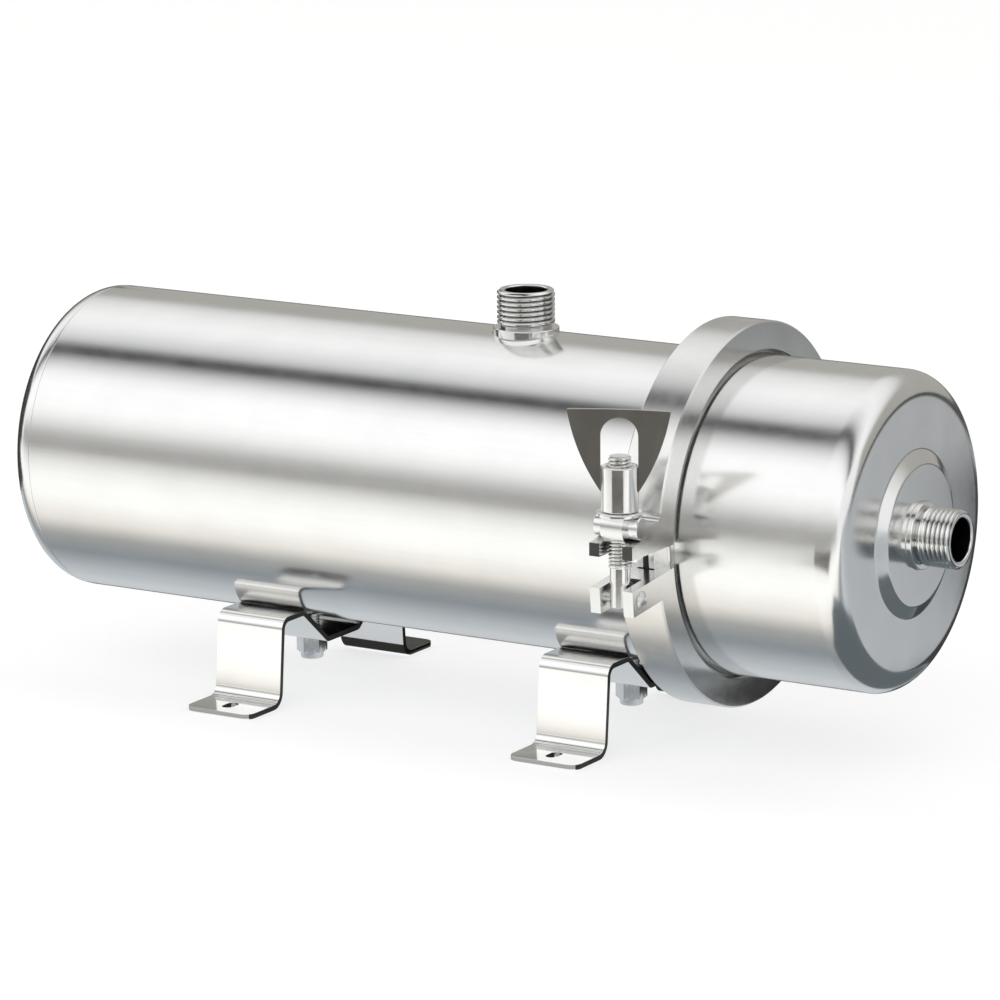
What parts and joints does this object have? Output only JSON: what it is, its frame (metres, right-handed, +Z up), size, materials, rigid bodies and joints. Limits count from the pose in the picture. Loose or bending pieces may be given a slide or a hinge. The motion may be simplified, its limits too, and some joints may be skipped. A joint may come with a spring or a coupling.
{
  "type": "ultrafiltration water purifier",
  "caption": "Stainless pipeline water filter: long barrel and cap joined by a hinged swing-bolt clamp, threaded ports, sheet brackets, hollow fibre cartridge inside.",
  "frame": {"origin": "middle of the closed-end bracket's two foot slots, on the mounting surface", "axes": "+X along the barrel from the closed end to the cap, +Z up from the mounting surface, -Y towards the swing bolt"},
  "size_m": [0.3857, 0.1724, 0.1568],
  "materials": {
    "brushed_tube": "fine brushed stainless sheet",
    "machined_steel": "machined bright stainless",
    "cast_steel": "cast stainless, polished",
    "dark_steel": "stamped stainless that mirrors dark surroundings",
    "polished_sheet": "mirror polished stainless sheet",
    "black_rubber": "black rubber",
    "white_nylon": "nylon",
    "white_plastic": "moulded white plastic",
    "potting_resin": "cast amber resin",
    "hollow_fibre": "bundled white hollow fibre"
  },
  "bodies": {
    "housing": {"barrel_tube": "brushed_tube", "barrel_end": "brushed_tube", "barrel_flange": "machined_steel", "outlet_nipple": "machined_steel", "drain_nipple": "machined_steel", "cap_shell": "brushed_tube", "cap_flange": "machined_steel", "inlet_nipple": "machined_steel", "flange_gasket": "black_rubber", "clamp_upper_half": "cast_steel", "clamp_lower_half": "cast_steel", "clamp_hinge_pin": "machined_steel", "bolt_pivot_pin": "machined_steel", "closed_end_bracket": "polished_sheet", "clamp_end_bracket": "polished_sheet", "bracket_studs": "machined_steel", "lock_nuts": "machined_steel", "lock_nut_inserts": "white_nylon", "cartridge_stop": "machined_steel", "drain_head": "white_plastic", "feed_head": "white_plastic", "drain_potting": "potting_resin", "feed_potting": "potting_resin", "head_seals": "black_rubber", "cartridge_cage": "white_plastic", "fibre_sheaves": "hollow_fibre"},
    "swing_bolt": {"swing_bolt": "machined_steel"},
    "trunnion": {"trunnion_bar": "machined_steel", "trunnion_washer": "machined_steel"},
    "wing_nut": {"wing_nut_barrel": "machined_steel", "wing_plate": "dark_steel"}
  },
  "joints": [
    {"name": "bolt_swing", "type": "hinge", "parent": "housing", "child": "swing_bolt", "pos_m": [0.1805, -0.081, 0.07004], "axis": [1, 0, 0], "range_deg": [0, 120]},
    {"name": "trunnion_lift", "type": "slide", "parent": "swing_bolt", "child": "trunnion", "axis": [0, 0, 1], "range_m": [0, 0.01]},
    {"name": "nut_spin", "type": "hinge", "parent": "trunnion", "child": "wing_nut", "pos_m": [0.1805, -0.081, 0.104], "axis": [0, 0, 1], "range_deg": [0, 2880]}
  ],
  "couplings": [
    {"joint": "nut_spin", "follows": "trunnion_lift", "rad_per_m": 5026.5}
  ]
}
